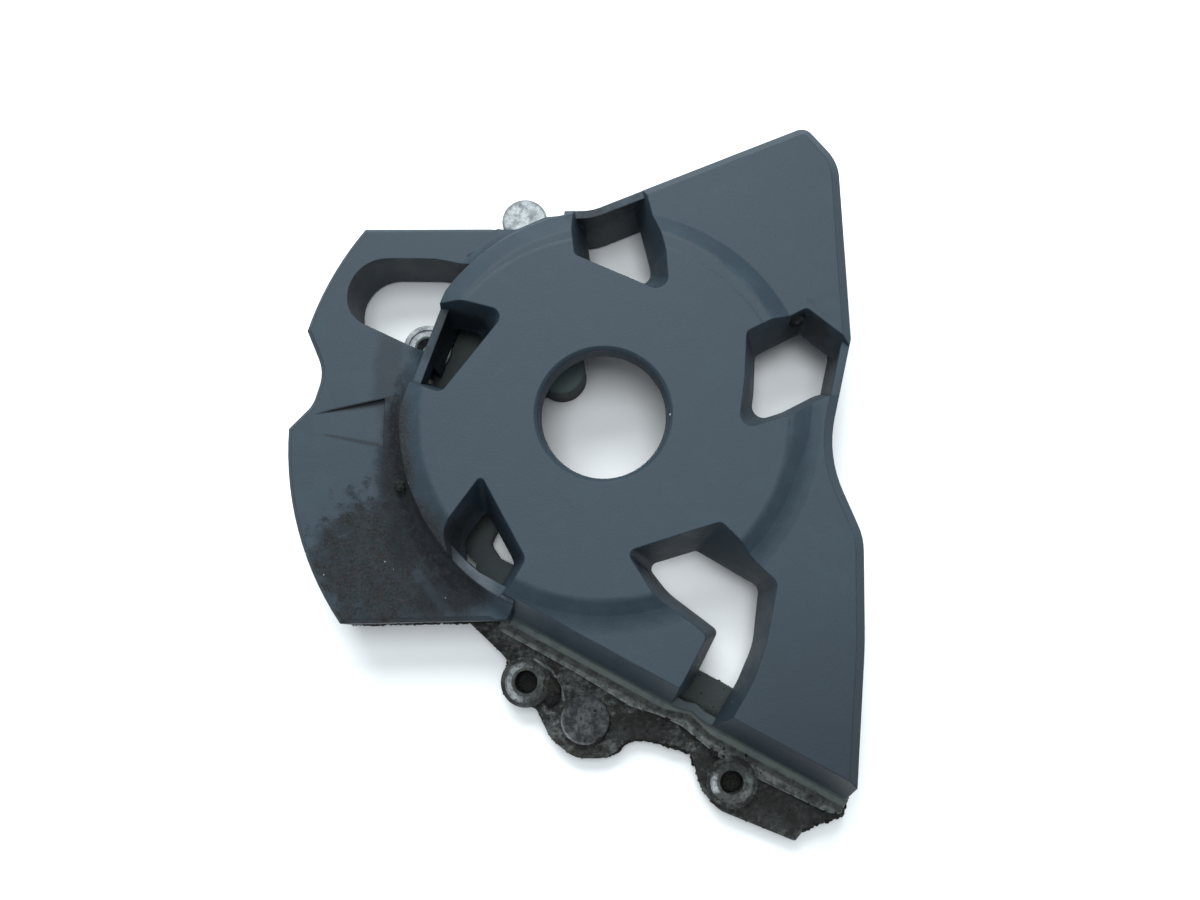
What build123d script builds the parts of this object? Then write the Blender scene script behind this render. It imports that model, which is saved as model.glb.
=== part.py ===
from build123d import *
import os
from math import atan, cos, radians, sin, sqrt, tan

# Motorcycle sprocket cover: a moulded outer shell that stands on an aluminium casting.
# Millimetres. The origin is the sprocket's axis where it meets the engine's mounting face,
# and +Z points away from the engine.

# Heights above the mounting face
disc_top = 36.0
plate_top = 32.0
wing_top = 24.0
shell_foot = 1.0
flange_top = 6.0
ledge_top = 8.0
lug_top = 8.5
dowel_boss_top = 9.0
arm_boss_top = 14.0

# Shell wall and edges
wall = 2.5
wing_bevel = 1.2
plate_bevel = 2.8
seat_gap = 0.4
split_x = -12.0
split_y = -30.0
overlap = 1.0
cove_sink = 0.1

# Round disc, which swells a little towards the top left
disc_wall_r = 60.6
disc_flat_r = 54.0
disc_shoulder = 4.3
swell = (1.5, 3.6, -0.2)
seam_turn = 40.0
cove_r = 6.4
plate_cove_width = 6.8
flat_angle = 160.7
flat_distance = 57.7

# Central hole and its tapered collar
hole_r = 19.4
hole_foot_r = 18.3
collar_depth = 5.5
hole_bevel = 0.8

# Left wing
wing_r = 96.0
wing_left_low = (-77.9, -60.0)
wing_left_top = (-74.4, 61.5)
notch_low = (-95.7, -1.5)
notch_high = (-91.3, 29.0)
fan_depth = 1.3
fan_tip = (-88.0, 2.6)
fan_root = (-66.5, 7.4)

# Lower side, which leans in from the lip
lip_left = (-28.6, -58.9)
lip_right = (70.2, -112.0)
lean = 6.5
lip_out = 1.2
lip_low = 8.8
lip_high = 10.4
jog_start = 53.0
jog_middle = 60.5
jog_end = 68.6
jog_depth = 2.2

# Windows: plan corners at the disc's top, then the corner radii
frame_foot = 17.0
frame_wall = 2.2
draft = 13.0
high_rim = 29.0
low_rim = 13.0
top_window = (
    [(-11.5, 72), (-8.5, 48.3), (19.6, 35.6), (18.6, 50), (12.3, 76)],
    [0.5, 2, 3.5, 5, 0.5])
upper_left_window = (
    [(-60, 37), (-41.5, 34.5), (-28.5, 31), (-47.5, 6.5), (-63, 12)],
    [0.5, 20, 3, 2.5, 0.5])
lower_left_window = (
    [(-35.3, -17.8), (-47, -33.8), (-45, -46), (-34, -60), (-27.5, -51.5), (-22, -42)],
    [1.2, 5, 0.5, 0.5, 3, 3])
low_window = (
    [(6.5, -40), (33.7, -31.5), (50.5, -48.5), (46.5, -66), (42.8, -76.5),
     (32.5, -94), (7, -92), (20.8, -78), (28.6, -64), (15.5, -54)],
    [2, 2, 3, 20, 20, 0.5, 0.5, 10, 2, 20])
low_window_foot = [
    (11.6, -42), (28.6, -36.8), (46.9, -48.8), (44.4, -66), (39.9, -76.5),
    (29.5, -94), (9.5, -92), (25, -77.5), (32.9, -62.3), (18.3, -51.2)]
right_window = (
    [(42, 24.3), (60.5, 33.6), (74, 22.5), (82, 20), (82, 5), (66, 5), (55.3, -0.5), (39, -5.3), (41.2, 10.6)],
    [2, 1.5, 5, 0.5, 0.5, 10, 20, 3.5, 20])
windows = [top_window, upper_left_window, lower_left_window, low_window, right_window]

# Casting
bolt_r = 3.5
lug_r = 7.6
spot_face_r = 6.1
spot_face_depth = 0.5
dowel_hole_r = 4.0
dowel_hole_depth = 6.0
dowel_boss_r = 7.3
neck_width = 10.0
web_r = 57.4
arm_boss_r = 7.8
casting_blend = 2.5
casting_edge = 0.6
lugs = [(-24.2, -77.2), (37.5, -106.5), (-56.7, 26.9)]
dowel_bosses = [(-6.3, -88.4), (-26.1, 69.1)]
arm_boss = (-14.1, 18.8)

# Screws from behind, and the shell's posts that they go into
post_r = 4.2
screw_r = 2.0
screw_fit = 0.08
screw_clearance = 0.3
screw_length = 14.0
screw_tip_room = 1.0
head_r = 3.6
head_height = 2.2
recess_r = 4.0
recess_depth = 2.4
cross_width = 0.9
cross_length = 3.6
cross_depth = 1.0
screws_by_disc = [(52.0, 190.0), (52.8, 114.0)]
screws_by_lip = [33.0, 100.0]
screws_inside_lip = 9.5

lip_length = sqrt((lip_right[0] - lip_left[0]) ** 2 + (lip_right[1] - lip_left[1]) ** 2)
lip_run = ((lip_right[0] - lip_left[0]) / lip_length, (lip_right[1] - lip_left[1]) / lip_length)
lip_inward = (-lip_run[1], lip_run[0])
tall = 2 * disc_top
wide = 400.0


def beside_lip(along, inward):
    """Point in plan, so far along the lip line from its left end and so far inside it."""
    x = lip_left[0] + along * lip_run[0] + inward * lip_inward[0]
    y = lip_left[1] + along * lip_run[1] + inward * lip_inward[1]
    return (x, y)


def on_circle(radius, angle):
    """Point in plan at a radius and an angle about the disc's axis."""
    return (radius * cos(radians(angle)), radius * sin(radians(angle)))


screw_points = [on_circle(radius, angle) for radius, angle in screws_by_disc]
screw_points += [beside_lip(along, screws_inside_lip) for along in screws_by_lip]


def rounded(points, radii):
    """Closed outline with rounded corners, as a face in plan."""
    with BuildSketch() as plan:
        with BuildLine():
            FilletPolyline(*points, radius=radii, close=True)
        make_face()
    return plan.sketch


def straight_sided(points):
    """Closed outline with sharp corners, as a face in plan."""
    with BuildSketch() as plan:
        with BuildLine():
            Polyline(*points, close=True)
        make_face()
    return plan.sketch


def prism(plan, low, high):
    """Upright solid over a plan sketch, between two heights."""
    with BuildPart() as solid:
        with BuildSketch(Plane.XY.offset(low)):
            add(plan)
        extrude(amount=high - low)
    return solid.part


# Plan outlines of the shell

def cover_outline(inset):
    """Outline of the whole shell in plan, or the same drawn in by a wall's thickness."""
    with BuildSketch() as plan:
        with BuildLine():
            top = FilletPolyline(
                wing_left_top, (-35.0, 61.2), (-27.0, 60.2), (-18.0, 64.3), (-3.6, 64.6), (40.0, 82.0),
                radius=[10, 5, 5, 14])
            side = FilletPolyline(
                top @ 1, (61.9, 90.7), (71.6, 79.2), (73.5, 23.5), (65.3, -11.5), (75.1, -35.6), (74.3, -66.0),
                lip_right, radius=[4, 14, 3.2, 36, 18, 150])
            lip = Line(side @ 1, lip_left)
            low = Line(lip @ 1, wing_left_low)
            left_low = RadiusArc(low @ 1, notch_low, wing_r)
            notch = FilletPolyline(left_low @ 1, (-88.6, 5.8), (-85.6, 16.0), notch_high, radius=[9, 12])
            RadiusArc(notch @ 1, top @ 0, wing_r)
        make_face()
        if inset:
            offset(amount=-inset)
    return plan.sketch


def right_of_split(inset):
    """The part of the plan where the plate is, to the right of where the wing ends."""
    split = split_x + inset
    low = lip_left[0] + inset
    return straight_sided([
        (split, wide / 2), (split, split_y), (low, lip_left[1]), (low, -wide / 2), (wide / 2, -wide / 2),
        (wide / 2, wide / 2)])


def slot_plan(grow):
    """Plan of the wing's long slot, which the disc's wall closes at its right end."""
    corners = [(-30.0, 46.5), (-52.0, 51.4), (-79.0, 51.8), (-79.0, 33.4), (-30.0, 9.8)]
    with BuildSketch() as plan:
        add(rounded(corners, [0.5, 30, 12, 9.4, 0.5]))
        if grow:
            offset(amount=grow)
    return plan.sketch


# Forms that are made twice, once outside and once a wall's thickness in

def beyond_lean(inset):
    """All that lies outside the leaning lower side and the jog at its foot."""
    slope = lean / (plate_top - ledge_top)
    foot = inset * sqrt(1 + slope ** 2)
    clear = foot - 2 * wall
    section = Plane(
        origin=(lip_left[0], lip_left[1], 0),
        x_dir=(lip_inward[0], lip_inward[1], 0),
        z_dir=(lip_run[0], lip_run[1], 0))
    with BuildPart() as outside:
        with BuildSketch(section.offset(-wide / 4)):
            with BuildLine():
                Polyline(
                    (foot, 0), (foot, ledge_top), (foot + slope * (tall - ledge_top), tall),
                    (-wide / 4, tall), (-wide / 4, 0), close=True)
            make_face()
        extrude(amount=lip_length + wide / 2)
        jog = straight_sided([
            beside_lip(jog_start - inset / 3, clear), beside_lip(jog_start - inset / 3, foot),
            beside_lip(jog_middle, jog_depth + foot), beside_lip(jog_end + inset / 3, foot),
            beside_lip(jog_end + inset / 3, clear)])
        add(prism(jog, 0, ledge_top + jog_depth / slope))
    return outside.part


def disc_section(inset):
    """Half section of the disc: flat top, sloping shoulder and upright wall."""
    with BuildSketch() as half:
        with BuildLine():
            crown = FilletPolyline(
                (0, disc_top - inset), (disc_flat_r - inset / 3, disc_top - inset),
                (disc_wall_r - inset, disc_top - disc_shoulder - inset / 2), (disc_wall_r - inset, 0),
                radius=[3, 1.6])
            Polyline(crown @ 1, (0, 0), crown @ 0)
        make_face()
    return half.sketch


def disc_form(inset):
    """The disc as a solid, with one flat on its wall where a mounting bolt needs room."""
    depth = 2 * (disc_wall_r - flat_distance)
    with BuildPart() as one_disc:
        with BuildSketch(Plane.XZ):
            add(disc_section(inset))
        revolve(axis=Axis.Z)
    with BuildPart() as disc:
        add(one_disc.part)
        with Locations(Location(swell, (0, 0, seam_turn))):
            add(one_disc.part)
        with BuildSketch(Plane.XY.rotated((0, 0, flat_angle))):
            with Locations((flat_distance - inset + depth / 2, 0)):
                Rectangle(depth, 2 * disc_wall_r)
        extrude(amount=tall, mode=Mode.SUBTRACT)
    return disc.part


def on_outline(edge):
    """True for an edge on the cover's outline, false for one on the split."""
    middle = edge @ 0.5
    return max(abs(middle.X), abs(middle.Y)) > flat_distance


def beside_wing(inset):
    """What lies outside the leaning side, to the right of where the wing ends."""
    with BuildPart() as outside:
        add(beyond_lean(inset))
        add(prism(right_of_split(0), 0, tall), mode=Mode.INTERSECT)
    return outside.part


def wing_form(inset):
    """The wing as a solid with a bevelled upper edge."""
    with BuildPart() as wing:
        with BuildSketch(Plane.XY.offset(shell_foot)):
            add(cover_outline(inset))
            add(right_of_split(2 * inset), mode=Mode.SUBTRACT)
        extrude(amount=wing_top - inset - shell_foot)
        if not inset:
            chamfer(wing.edges().group_by(Axis.Z)[-1].filter_by(on_outline), wing_bevel)
        add(beside_wing(inset), mode=Mode.SUBTRACT)
    return wing.part


def plate_form(inset):
    """The plate as a solid with a bevel all round its top."""
    with BuildPart() as plate:
        with BuildSketch(Plane.XY.offset(shell_foot)):
            add(cover_outline(inset))
            add(right_of_split(inset), mode=Mode.INTERSECT)
        extrude(amount=plate_top - inset - shell_foot)
        if not inset:
            chamfer(plate.edges().group_by(Axis.Z)[-1].filter_by(on_outline), plate_bevel)
        add(beyond_lean(inset), mode=Mode.SUBTRACT)
    return plate.part


def plate_cove():
    """The shallow hollow fillet where the disc's shoulder meets the plate's top."""
    slope = disc_shoulder / (disc_wall_r - disc_flat_r)
    corner_r = disc_flat_r + (disc_top - plate_top) / slope
    half_turn = atan(slope) / 2
    tangent = plate_cove_width / 2
    sagitta = tangent * (1 - cos(half_turn)) / sin(half_turn)
    high = (corner_r - tangent * cos(2 * half_turn), plate_top + tangent * sin(2 * half_turn) - cove_sink)
    middle = (corner_r + sagitta * sin(half_turn), plate_top + sagitta * cos(half_turn))
    low = (corner_r + tangent, plate_top)
    back = high[0] - overlap
    with BuildPart() as ring:
        with BuildSketch(Plane.XZ):
            with BuildLine():
                ThreePointArc(high, middle, low)
                Polyline(low, (low[0], plate_top - overlap), (back, plate_top - overlap), (back, high[1]), high)
            make_face()
        revolve(axis=Axis.Z)
        add(prism(cover_outline(plate_bevel), shell_foot, tall), mode=Mode.INTERSECT)
        add(prism(right_of_split(0), 0, tall), mode=Mode.INTERSECT)
        add(beyond_lean(0), mode=Mode.SUBTRACT)
    return ring.part


def disc_and_plate(inset):
    """The raised parts of the cover as a solid."""
    with BuildPart() as raised:
        add(disc_form(inset))
        add(prism(cover_outline(inset), shell_foot, tall), mode=Mode.INTERSECT)
        add(beyond_lean(inset), mode=Mode.SUBTRACT)
        add(plate_form(inset))
        if not inset:
            add(plate_cove())
    return raised.part


# Features of the shell

def cove_section(reach):
    """Section of the hollow fillet outside an upright wall, filled behind the wall for some reach."""
    middle = cove_r * (1 - sqrt(0.5))
    high = (disc_wall_r, wing_top + cove_r)
    low = (disc_wall_r + cove_r, wing_top)
    back = disc_wall_r - reach
    with BuildSketch() as section:
        with BuildLine():
            ThreePointArc(high, (disc_wall_r + middle, wing_top + middle), low)
            Polyline(low, (low[0], wing_top - overlap), (back, wing_top - overlap), (back, high[1]), high)
        make_face()
    return section.sketch


def cove():
    """The hollow fillet round the disc, which runs straight along the flat."""
    outwards = Plane.XY.rotated((0, 0, flat_angle))
    across = Plane(origin=(0, 0, 0), x_dir=outwards.x_dir, z_dir=-outwards.y_dir)
    with BuildPart() as ring:
        with BuildSketch(Plane.XZ):
            add(cove_section(disc_wall_r))
        revolve(axis=Axis.Z)
    with BuildPart() as straight:
        with BuildSketch(across.offset(-wide / 4)):
            with Locations((flat_distance - disc_wall_r, 0)):
                add(cove_section(wide / 2))
        extrude(amount=wide / 2)
    with BuildPart() as whole:
        add(ring.part)
        with Locations(Location(swell, (0, 0, seam_turn))):
            add(ring.part)
        add(straight.part, mode=Mode.INTERSECT)
        add(prism(cover_outline(0), 0, tall), mode=Mode.INTERSECT)
        add(prism(right_of_split(0), 0, tall), mode=Mode.SUBTRACT)
    return whole.part


def drawn_in(points, amount):
    """The same corners with every side moved inwards by one amount."""
    ends = [Vector(*point) for point in points]
    runs = [(end - start).normalized() for start, end in zip(ends, ends[1:] + ends[:1])]
    turning = sum(before.cross(after).Z for before, after in zip(runs[-1:] + runs[:-1], runs))
    inwards = [Vector(-run.Y, run.X) * (1 if turning > 0 else -1) for run in runs]
    moved = []
    for corner, before, after in zip(ends, inwards[-1:] + inwards[:-1], inwards):
        shift = (before + after) * (amount / (1 + before.dot(after)))
        moved.append((corner.X + shift.X, corner.Y + shift.Y))
    return moved


def window_well(window, grow, foot):
    """Drafted well under a window's plan, from just above the disc down to a foot height."""
    corners, radii = window
    if window == low_window:
        foot_corners = low_window_foot
    else:
        foot_corners = drawn_in(corners, (disc_top - frame_foot) * tan(radians(draft)))
    with BuildPart() as well:
        for height in (disc_top + overlap, foot):
            share = (disc_top - height) / (disc_top - frame_foot)
            level = [(x + share * (u - x), y + share * (v - y)) for (x, y), (u, v) in zip(corners, foot_corners)]
            with BuildSketch(Plane.XY.offset(height)):
                add(rounded(drawn_in(level, -grow), radii))
        loft(ruled=True)
    return well.part


def hole_well(grow, foot):
    """Tapered well of the central hole with a bevel at its rim."""
    slope = (hole_r - hole_foot_r) / collar_depth
    rim_r = hole_r + grow
    bevel_foot = disc_top - hole_bevel
    with BuildPart() as well:
        with BuildSketch(Plane.XZ):
            with BuildLine():
                Polyline(
                    (0, foot), (rim_r - slope * (disc_top - foot), foot), (rim_r - slope * hole_bevel, bevel_foot),
                    (rim_r + hole_bevel, disc_top), (rim_r + hole_bevel, tall), (0, tall), close=True)
            make_face()
        revolve(axis=Axis.Z)
    return well.part


def fan():
    """Shallow fan let into the wing, from nothing at its tip to its full depth at the disc."""
    with BuildPart() as cut:
        with BuildSketch(Plane.XZ.offset(-2 * fan_root[1])):
            with BuildLine():
                Polyline(
                    (fan_tip[0], wing_top), (fan_root[0], wing_top - fan_depth),
                    (fan_root[0], wing_top + overlap), (fan_tip[0], wing_top + overlap), close=True)
            make_face()
        extrude(amount=4 * fan_root[1])
        sides = straight_sided([fan_tip, (fan_tip[0], -fan_tip[1]), (fan_root[0], -fan_root[1]), fan_root])
        add(prism(sides, 0, tall), mode=Mode.INTERSECT)
    return cut.part


def lip_bead():
    """Bead that stands out along the foot of the lower side and follows the jog."""
    path = [(0, 0), (jog_start, 0), (jog_middle, jog_depth), (jog_end, 0), (lip_length, 0)]
    front_line = [beside_lip(along, inward - lip_out) for along, inward in path]
    back_line = [beside_lip(along, inward + wall / 2) for along, inward in reversed(path)]
    return prism(straight_sided(front_line + back_line), lip_low, lip_high)


# Plan outlines of the casting

def web_plan():
    """Web behind the disc's left half, inside the disc's wall."""
    with BuildSketch() as plan:
        add(straight_sided([
            (-75, -60), beside_lip(10, 12), beside_lip(10, 14), (-28.3, -41.8), (-33.0, -39.4), (-36.0, -35.0),
            (-33.6, -29.5), (-27.5, -12.0), (-24.5, 3.0), (-21.8, 10.5), (-7.5, 22.0), (-12.0, 40.0), (-16.0, 50.0),
            (-17.0, 75.0), (-75, 75)]))
        Circle(web_r, mode=Mode.INTERSECT)
    return plan.sketch


def casting_plan(grow):
    """Plan of the casting's plate with its lugs, bosses and web, or the same drawn out by a gap."""
    neck_start = on_circle(web_r - neck_width, 110)
    with BuildSketch() as plan:
        add(web_plan())
        add(rounded([
            (-44.5, -45), (-44.5, -57), (-31.0, -69.5), (-21.5, -84.5), (-16.8, -94.0), (-9.5, -99.8), (1.4, -99.8),
            (6.5, -94.0), (13.0, -94.4), (25.6, -97.8), (28.4, -108.6), (33.5, -114.6), (56.0, -123.4),
            (58.6, -120.2), (66.2, -117.6), (70.6, -116.3), (71.4, -112.0), beside_lip(112, 6), beside_lip(106, 14),
            beside_lip(10, 14), (-28.3, -41.8)],
            [1, 3, 20, 20, 9, 9, 9, 6, 10, 5, 9, 9, 1, 1, 1, 1, 0.5, 0.5, 0.5, 1, 1]))
        with BuildLine():
            Line(neck_start, dowel_bosses[1])
        trace(line_width=neck_width)
        with Locations(*lugs):
            Circle(lug_r)
        with Locations(*dowel_bosses):
            Circle(dowel_boss_r)
        offset(amount=casting_blend)
        offset(amount=grow - casting_blend)
    return plan.sketch


def ledge_plan():
    """Plan of the raised ledge that the shell's lip stands on."""
    return rounded([
        beside_lip(-3, 3), beside_lip(-3, -4.3), (-9.4, -74.2), (7.6, -84.4), (15.7, -86.8), (22.9, -90.2),
        (34.7, -99.9), (41.2, -103.5), (66.0, -115.2), beside_lip(113, -3.5), beside_lip(113, 3)],
        [0.5, 2, 20, 8, 4, 6, 6, 6, 10, 1, 0.5])


def room_for_casting():
    """All that the casting takes up under the shell, with the gap left round it."""
    with BuildPart() as room:
        add(prism(casting_plan(seat_gap), 0, flange_top + seat_gap))
        add(prism(ledge_plan(), 0, ledge_top))
        with Locations(*lugs):
            Cylinder(lug_r + seat_gap, lug_top + seat_gap, align=(Align.CENTER, Align.CENTER, Align.MIN))
        with Locations(*dowel_bosses):
            Cylinder(dowel_boss_r + seat_gap, dowel_boss_top + seat_gap, align=(Align.CENTER, Align.CENTER, Align.MIN))
    return room.part


# The outer shell

outer_raised = disc_and_plate(0)
inner_raised = disc_and_plate(wall)
pilot_top = recess_depth + screw_length + screw_tip_room

with BuildPart() as slot_walls:
    add(prism(slot_plan(wall), shell_foot, wing_top))
    add(prism(cover_outline(0), 0, tall), mode=Mode.INTERSECT)
    add(inner_raised, mode=Mode.SUBTRACT)

# The slot is open from top to bottom, outside the disc's wall
with BuildPart() as slot:
    add(prism(slot_plan(0), 0, tall))
    add(outer_raised, mode=Mode.SUBTRACT)

# Each window keeps a drafted frame that hangs from the skin. The low window's well is cut with its opening.
with BuildPart() as frames:
    for window in windows:
        add(window_well(window, frame_wall, low_rim if window == low_window else frame_foot))
    for window in windows:
        if window != low_window:
            add(window_well(window, 0, frame_foot - overlap), mode=Mode.SUBTRACT)
    add(hole_well(wall, disc_top - collar_depth))
    add(outer_raised, mode=Mode.INTERSECT)

# The openings reach down to the rim of wall that is left where they run out through the side
with BuildPart() as openings:
    for window in windows:
        add(window_well(window, 0, low_rim if window == low_window else high_rim))
    add(hole_well(0, 0))

with BuildPart() as posts:
    with Locations(*[(x, y, flange_top) for x, y in screw_points]):
        Cylinder(post_r, disc_top - flange_top, align=(Align.CENTER, Align.CENTER, Align.MIN))
    add(outer_raised, mode=Mode.INTERSECT)
    with Locations(*[(x, y, flange_top) for x, y in screw_points]):
        Cylinder(screw_r + screw_fit, pilot_top - flange_top, align=(Align.CENTER, Align.CENTER, Align.MIN),
                 mode=Mode.SUBTRACT)

with BuildPart() as outer_shell:
    add(outer_raised)
    add(wing_form(0))
    add(cove())
    add(inner_raised, mode=Mode.SUBTRACT)
    add(wing_form(wall), mode=Mode.SUBTRACT)
    add(slot_walls.part)
    add(frames.part)
    add(slot.part, mode=Mode.SUBTRACT)
    add(openings.part, mode=Mode.SUBTRACT)
    add(fan(), mode=Mode.SUBTRACT)
    add(lip_bead())
    add(room_for_casting(), mode=Mode.SUBTRACT)
    add(posts.part)

# The casting

with BuildPart() as base_casting:
    add(prism(casting_plan(0), 0, flange_top))
    with BuildSketch(Plane.XY.offset(flange_top)):
        add(ledge_plan())
    extrude(amount=ledge_top - flange_top)
    with Locations(*lugs):
        Cylinder(lug_r, lug_top, align=(Align.CENTER, Align.CENTER, Align.MIN))
    with Locations(*dowel_bosses):
        Cylinder(dowel_boss_r, dowel_boss_top, align=(Align.CENTER, Align.CENTER, Align.MIN))
    with Locations(arm_boss):
        Cylinder(arm_boss_r, arm_boss_top, align=(Align.CENTER, Align.CENTER, Align.MIN))
    bosses = base_casting.edges().filter_by(GeomType.CIRCLE)
    chamfer(bosses.filter_by(lambda edge: (edge @ 0).Z > ledge_top + casting_edge and edge.is_closed), casting_edge)
    with Locations(*[(x, y, lug_top - spot_face_depth) for x, y in lugs]):
        Cylinder(spot_face_r, tall, align=(Align.CENTER, Align.CENTER, Align.MIN), mode=Mode.SUBTRACT)
    with Locations(*lugs):
        Cylinder(bolt_r, tall, mode=Mode.SUBTRACT)
    with Locations(*dowel_bosses):
        Cylinder(dowel_hole_r, 2 * dowel_hole_depth, mode=Mode.SUBTRACT)
    with Locations(*screw_points):
        Cylinder(recess_r, 2 * recess_depth, mode=Mode.SUBTRACT)
        Cylinder(screw_r + screw_clearance, 2 * flange_top, mode=Mode.SUBTRACT)

# The screws from behind, one group of equal pieces

with BuildPart() as shell_screws:
    with Locations(*[(x, y, recess_depth) for x, y in screw_points]):
        Cylinder(screw_r, screw_length, align=(Align.CENTER, Align.CENTER, Align.MIN))
        Cylinder(head_r, head_height, align=(Align.CENTER, Align.CENTER, Align.MAX))
    chamfer(shell_screws.edges().group_by(Axis.Z)[-1], screw_r / 3)
    chamfer(shell_screws.edges().group_by(Axis.Z)[0], head_height / 3)
    with Locations(*[(x, y, recess_depth - head_height + cross_depth) for x, y in screw_points]):
        Box(cross_length, cross_width, head_height, align=(Align.CENTER, Align.CENTER, Align.MAX), mode=Mode.SUBTRACT)
        Box(cross_width, cross_length, head_height, align=(Align.CENTER, Align.CENTER, Align.MAX), mode=Mode.SUBTRACT)

os.makedirs("parts", exist_ok=True)
outer_shell.part.label = "outer_shell"
base_casting.part.label = "base_casting"
shell_screws.part.label = "shell_screws"
export_step(outer_shell.part, "parts/outer_shell.step")
export_step(base_casting.part, "parts/base_casting.step")
export_step(shell_screws.part, "parts/shell_screws.step")
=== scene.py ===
# %% [markdown]
# # Dressing a motorcycle's sprocket cover
# The frame holds three solids: a moulded shell, the aluminium casting under it and four screws driven
# from behind. Their shapes are right already, so this script gives them their finishes, adds the dirt
# that lies on them, and sets the table, the light and the camera.

# %% Load the frame and note its size
from math import radians

import bmesh
import bpy
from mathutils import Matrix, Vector
from mathutils.noise import fractal


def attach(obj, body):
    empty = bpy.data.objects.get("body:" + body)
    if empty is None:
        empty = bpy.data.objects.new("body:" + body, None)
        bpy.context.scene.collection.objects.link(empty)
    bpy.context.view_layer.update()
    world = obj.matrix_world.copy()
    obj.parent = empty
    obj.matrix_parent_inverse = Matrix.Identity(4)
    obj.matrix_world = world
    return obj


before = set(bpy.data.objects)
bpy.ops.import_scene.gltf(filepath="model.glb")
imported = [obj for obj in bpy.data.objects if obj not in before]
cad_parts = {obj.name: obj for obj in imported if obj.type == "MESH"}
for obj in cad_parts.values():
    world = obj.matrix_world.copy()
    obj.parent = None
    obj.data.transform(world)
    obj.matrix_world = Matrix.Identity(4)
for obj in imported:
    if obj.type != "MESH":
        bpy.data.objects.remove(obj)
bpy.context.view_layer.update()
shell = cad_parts["outer_shell"]
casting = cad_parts["base_casting"]
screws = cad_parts["shell_screws"]
print("solids:", sorted(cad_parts))

# %% [markdown]
# The cover was seen from above with a lens of about 35 mm, from a point over its lower edge. Vertical
# walls therefore lean away from the point straight below the lens, and the upper walls of the windows
# show. A longer lens from further away would hide them, so the real distance of 37 cm is kept.

# %% Camera
viewpoint = (0.00888, -0.06762, 0.37062)
tilt = (radians(9.644), radians(1.679), 0.0)
camera_data = bpy.data.cameras.new("camera")
camera_data.sensor_width = 36.0
camera_data.lens = 35.31
camera_data.clip_start = 0.01
camera = bpy.data.objects.new("camera", camera_data)
camera.location = viewpoint
camera.rotation_euler = tilt
bpy.context.scene.collection.objects.link(camera)
bpy.context.scene.camera = camera
print("camera height:", camera.location.z)

# %% [markdown]
# A material is a tree of nodes. A script that spells out each node and each link is long to read, so
# four small helpers do it: one fills a socket, one adds a node and fills its sockets, one starts a
# node group with named inputs and outputs, and one puts a finished group into another tree.

# %% Helpers: nodes and groups
def fill(tree, socket, value):
    """Link a socket if the value comes from a node, or else set it."""
    if isinstance(value, bpy.types.NodeSocket):
        tree.links.new(value, socket)
    else:
        socket.default_value = value


def put(tree, kind, inputs=None, **settings):
    """Add one node, give it its settings, and fill its inputs by name or number."""
    made = tree.nodes.new(kind)
    for name, value in settings.items():
        setattr(made, name, value)
    for name, value in (inputs or {}).items():
        fill(tree, made.inputs[name], value)
    return made


def new_group(name, inputs, outputs, kind="ShaderNodeTree"):
    """Start a node group and return its tree, its inputs and its outputs."""
    tree = bpy.data.node_groups.new(name, kind)
    for label, socket_type, value in inputs:
        socket = tree.interface.new_socket(name=label, in_out="INPUT", socket_type=socket_type)
        if value is not None:
            socket.default_value = value
    for label, socket_type in outputs:
        tree.interface.new_socket(name=label, in_out="OUTPUT", socket_type=socket_type)
    return tree, tree.nodes.new("NodeGroupInput").outputs, tree.nodes.new("NodeGroupOutput").inputs


def place(tree, group, **inputs):
    """Put a finished group into a tree. An underscore in an input's name stands for a space."""
    made = tree.nodes.new("ShaderNodeGroup")
    made.node_tree = group
    for name, value in inputs.items():
        fill(tree, made.inputs[name.replace("_", " ")], value)
    return made.outputs


print("helpers for nodes ready")

# %% [markdown]
# Most of the work is done by masks, which are numbers from 0 to 1. A product of masks is 1 where all
# of them hold, and the highest is 1 where any of them holds. A ramp turns a measure, such as a height,
# into a mask with a soft border.

# %% Helpers: arithmetic on masks
def calc(tree, operation, first, second=0.0, clamp=False):
    """One Math node's result."""
    made = put(tree, "ShaderNodeMath", {0: first, 1: second}, operation=operation, use_clamp=clamp)
    return made.outputs[0]


def times(tree, *values):
    """The product of several values."""
    product = values[0]
    for value in values[1:]:
        product = calc(tree, "MULTIPLY", product, value)
    return product


def highest(tree, *values):
    """The highest of several values."""
    top = values[0]
    for value in values[1:]:
        top = calc(tree, "MAXIMUM", top, value)
    return top


def inverse(tree, mask):
    """The opposite of a mask."""
    return calc(tree, "SUBTRACT", 1.0, mask)


def ramp(tree, value, low, high):
    """A mask that rises smoothly from 0 to 1 while the value goes from low to high."""
    made = put(tree, "ShaderNodeMapRange", {"Value": value, "From Min": low, "From Max": high},
               interpolation_type="SMOOTHSTEP")
    return made.outputs["Result"]


print("helpers for masks ready")

# %% [markdown]
# A pattern needs a place to start from. Generated coordinates stretch with the piece and a UV map has
# to be unwrapped first, so every pattern here reads Object coordinates. They are turned into
# millimetres, so that every size below can be read off a ruler.

# %% Helpers: places, noise and colours
def vector(tree, operation, first, second=(0.0, 0.0, 0.0)):
    """One Vector Math node's result: a number for a length, distance or dot product, else a vector."""
    made = put(tree, "ShaderNodeVectorMath", {0: first, 1: second}, operation=operation)
    is_number = operation in ("LENGTH", "DISTANCE", "DOT_PRODUCT")
    return made.outputs["Value" if is_number else "Vector"]


def scaled(tree, first, factor):
    """A vector times a number."""
    made = put(tree, "ShaderNodeVectorMath", {0: first, "Scale": factor}, operation="SCALE")
    return made.outputs["Vector"]


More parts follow.
